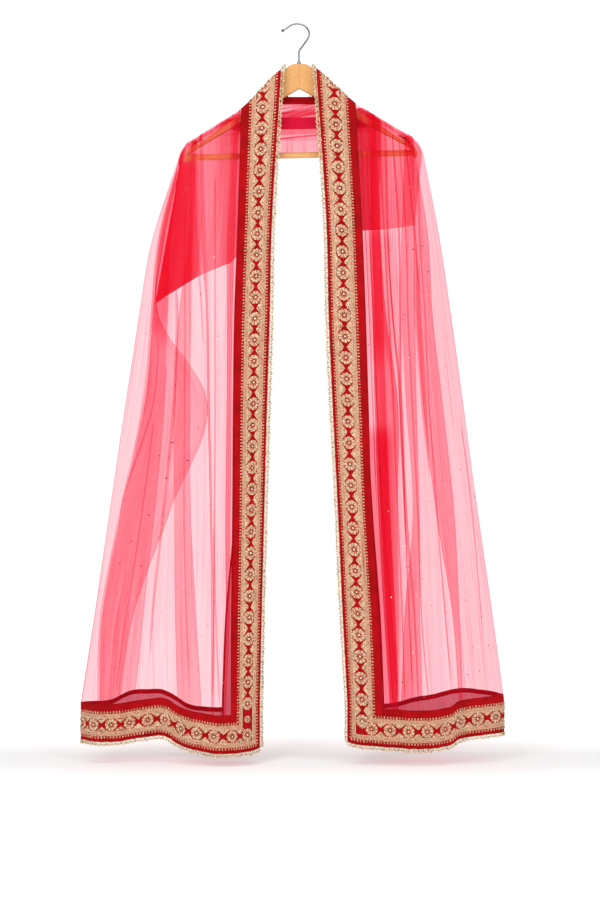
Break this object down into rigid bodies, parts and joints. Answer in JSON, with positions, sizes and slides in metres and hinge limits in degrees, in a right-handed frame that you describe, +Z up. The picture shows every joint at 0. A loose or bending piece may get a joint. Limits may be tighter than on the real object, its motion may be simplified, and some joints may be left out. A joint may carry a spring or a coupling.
{
  "type": "dupatta stole on a hanger",
  "caption": "Long net dupatta stole with embroidered velvet borders and gold lace edging, folded in half along its length and hung over a plain wooden hanger",
  "frame": {"origin": "the point inside the crown of the hanger's hook where a rail carries it", "axes": "+Z up along the hanging cloth, +X to the viewer's right across the hanger, +Y away from the viewer, through the thickness of the hung stole"},
  "size_m": [0.7674, 0.1238, 1.3264],
  "materials": {
    "net": "soft see-through red-pink net, matte with a faint sheen",
    "velvet": "deep red velvet with gold embroidery",
    "lace": "pale gold metallic picot lace",
    "wood": "light varnished wood",
    "chrome": "polished steel wire"
  },
  "bodies": {
    "root": {"net_left": "net", "net_right": "net", "net_neck": "net", "border_front_left": "velvet", "border_front_right": "velvet", "border_back_left": "velvet", "border_back_right": "velvet", "border_neck": "velvet", "hem_border_left": "velvet", "hem_border_right": "velvet", "lace_front_left": "lace", "lace_front_right": "lace", "lace_back_left": "lace", "lace_back_right": "lace", "lace_hem_left": "lace", "lace_hem_right": "lace", "lace_neck": "lace", "hanger_arm_left": "wood", "hanger_arm_right": "wood", "hanger_bar": "wood", "hanger_ferrule": "chrome", "hanger_hook": "chrome", "hook_ball": "chrome"}
  },
  "joints": []
}
